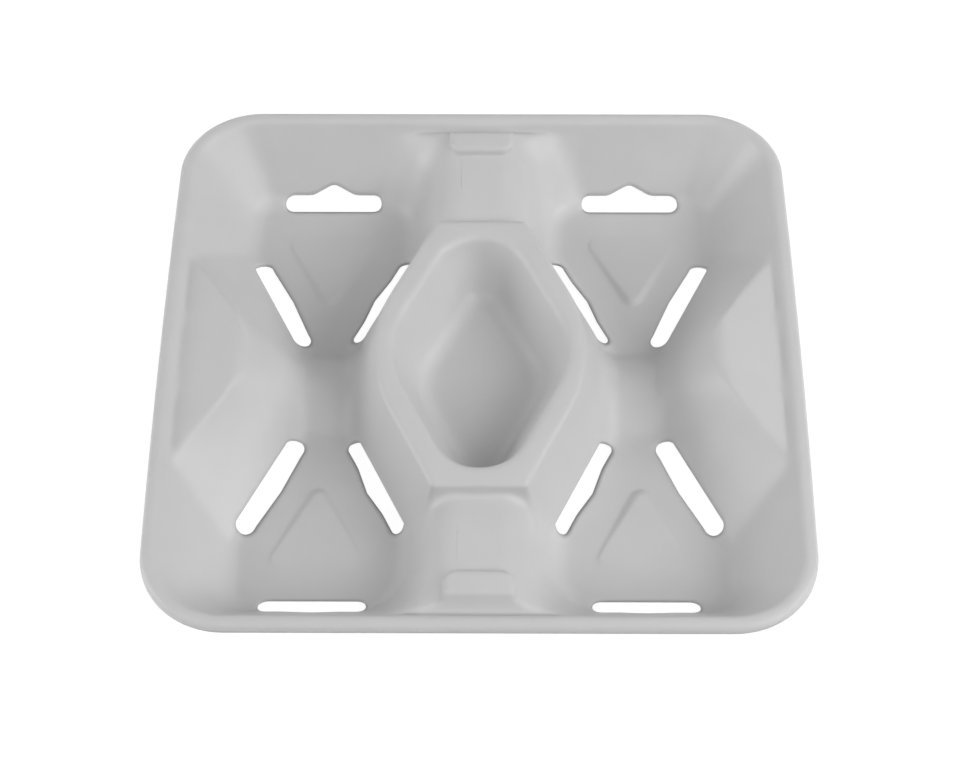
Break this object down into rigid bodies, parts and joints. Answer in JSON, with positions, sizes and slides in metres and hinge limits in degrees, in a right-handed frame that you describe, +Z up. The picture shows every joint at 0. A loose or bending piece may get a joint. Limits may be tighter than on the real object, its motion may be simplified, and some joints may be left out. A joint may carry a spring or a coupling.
{
  "type": "moulded fibre cup carrier tray",
  "caption": "Square moulded-fibre carrier tray for drinks cups: slanted pockets around a raised middle island with a recess, slots in the pocket floors and a rolled rim.",
  "frame": {"origin": "centre of the footprint, on the surface that the tray stands on", "axes": "+Z up out of the pockets, +X to the right and +Y to the back, along the two ridges from the island to the rim"},
  "size_m": [0.215, 0.215, 0.03],
  "materials": {
    "pulp": "pale grey moulded fibre, pressed smooth, with a faint sheen"
  },
  "bodies": {
    "root": {"tray": "pulp"}
  },
  "joints": []
}
